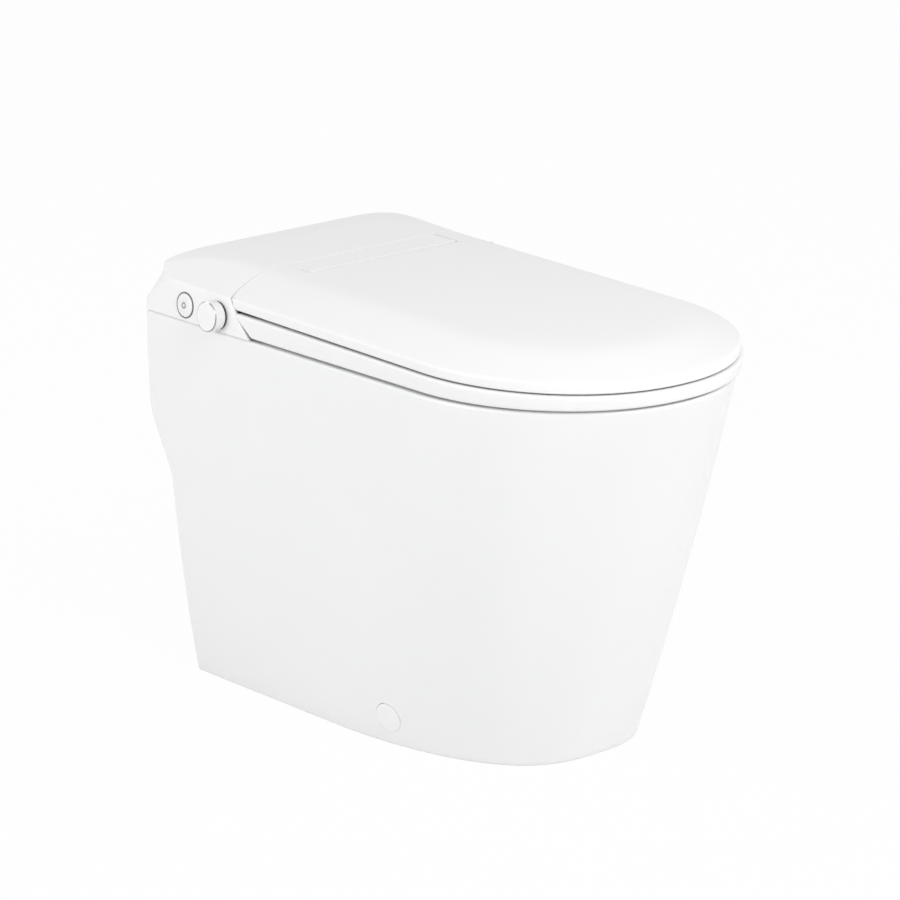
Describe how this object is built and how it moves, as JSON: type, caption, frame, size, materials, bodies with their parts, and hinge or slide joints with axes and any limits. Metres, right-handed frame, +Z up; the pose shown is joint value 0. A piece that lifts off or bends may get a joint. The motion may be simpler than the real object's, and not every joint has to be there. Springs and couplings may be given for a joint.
{
  "type": "toilet",
  "caption": "Floor-standing tankless toilet with a skirted ceramic pedestal, heated seat, crowned lid and a rear washing unit with push button and turn knob on one side.",
  "frame": {"origin": "centre of the floor outlet at floor level", "axes": "+Z up, +Y to the wall behind the toilet, so the seated person faces -Y and their right hand is at -X"},
  "size_m": [0.3966, 0.6595, 0.4827],
  "materials": {
    "ceramic": "clear gloss glaze",
    "white_gloss": "moulded gloss",
    "pale_grey": "moulded satin gloss",
    "dark_trim": "dark satin",
    "bright_rim": "plated",
    "white_matte": "fine moulded grain",
    "grey_plastic": "moulded",
    "black_plastic": "moulded",
    "board": "coated board",
    "steel": "plain",
    "brass": "turned",
    "rubber": "soft",
    "soft_white": "soft pads",
    "heater_foil": "foil"
  },
  "bodies": {
    "pedestal": {"ceramic_body": "ceramic", "rear_cover": "white_gloss", "hinge_strip": "white_gloss", "side_caps": "white_gloss", "button_bezel": "dark_trim", "unit_tray": "white_matte", "hinge_bridge": "white_matte", "nozzle_guide_front": "white_matte", "nozzle_guide_rear": "white_matte", "inlet_valve": "grey_plastic", "flush_pump": "grey_plastic", "blower_housing": "grey_plastic", "dryer_duct": "grey_plastic", "water_heater": "grey_plastic", "lid_damper": "grey_plastic", "seat_damper": "grey_plastic", "encoder": "grey_plastic", "rim_pipe": "grey_plastic", "cord_gland": "grey_plastic", "button_switch": "black_plastic", "deck_plugs": "black_plastic", "power_supply": "black_plastic", "side_board": "board", "control_board": "board", "floor_brackets": "steel", "side_screws": "steel", "deck_screws": "steel", "nozzle_motor": "steel", "blower_motor": "steel", "inlet_pipe": "brass", "outlet_seal": "rubber", "rim_pipe_seal": "rubber"},
    "seat": {"seat_ring": "white_gloss", "seat_base": "white_matte", "seat_heater": "heater_foil", "seat_feet": "soft_white", "seat_pin": "steel"},
    "lid": {"lid_shell": "white_gloss", "lid_feet": "soft_white", "lid_pin": "steel"},
    "push_button": {"flush_button": "pale_grey"},
    "knob_shaft": {"knob_stem": "black_plastic"},
    "turn_knob": {"knob": "white_gloss", "knob_rim": "bright_rim"},
    "nozzle": {"wash_nozzle": "white_matte", "nozzle_tip": "white_matte"},
    "pinion": {"drive_pinion": "grey_plastic"},
    "flap": {"dryer_flap": "white_matte"},
    "fan": {"impeller": "grey_plastic"}
  },
  "joints": [
    {"name": "seat_hinge", "type": "hinge", "parent": "pedestal", "child": "seat", "pos_m": [0, 0.1393, 0.4629], "axis": [-1, 0, 0], "range_deg": [0, 95]},
    {"name": "lid_hinge", "type": "hinge", "parent": "seat", "child": "lid", "pos_m": [0, 0.1393, 0.4629], "axis": [1, 0, 0], "range_deg": [-95, 0]},
    {"name": "button_push", "type": "slide", "parent": "pedestal", "child": "push_button", "axis": [0.9972, 0, -0.075], "range_m": [0, 0.0015], "stiffness_N_per_m": 900},
    {"name": "knob_push", "type": "slide", "parent": "pedestal", "child": "knob_shaft", "axis": [0.9972, 0, -0.075], "range_m": [0, 0.0012], "stiffness_N_per_m": 1500},
    {"name": "knob_turn", "type": "hinge", "parent": "knob_shaft", "child": "turn_knob", "pos_m": [-0.18862, 0.1728, 0.4359], "axis": [-0.9972, 0, 0.075], "continuous": true},
    {"name": "nozzle_slide", "type": "slide", "parent": "pedestal", "child": "nozzle", "axis": [0, -0.9135, -0.4067], "range_m": [0, 0.084]},
    {"name": "pinion_spin", "type": "hinge", "parent": "pedestal", "child": "pinion", "pos_m": [-0.001, 0.13106, 0.41993], "axis": [0, -0.4067, 0.9135], "range_deg": [0, 688]},
    {"name": "flap_hinge", "type": "hinge", "parent": "pedestal", "child": "flap", "pos_m": [0.047, 0.0984, 0.417], "axis": [-1, 0, 0], "range_deg": [0, 60]},
    {"name": "fan_spin", "type": "hinge", "parent": "pedestal", "child": "fan", "pos_m": [0.08, 0.226, 0.43], "axis": [0, 0, 1], "continuous": true}
  ],
  "couplings": [
    {"joint": "pinion_spin", "follows": "nozzle_slide", "rad_per_m": 142.86}
  ]
}
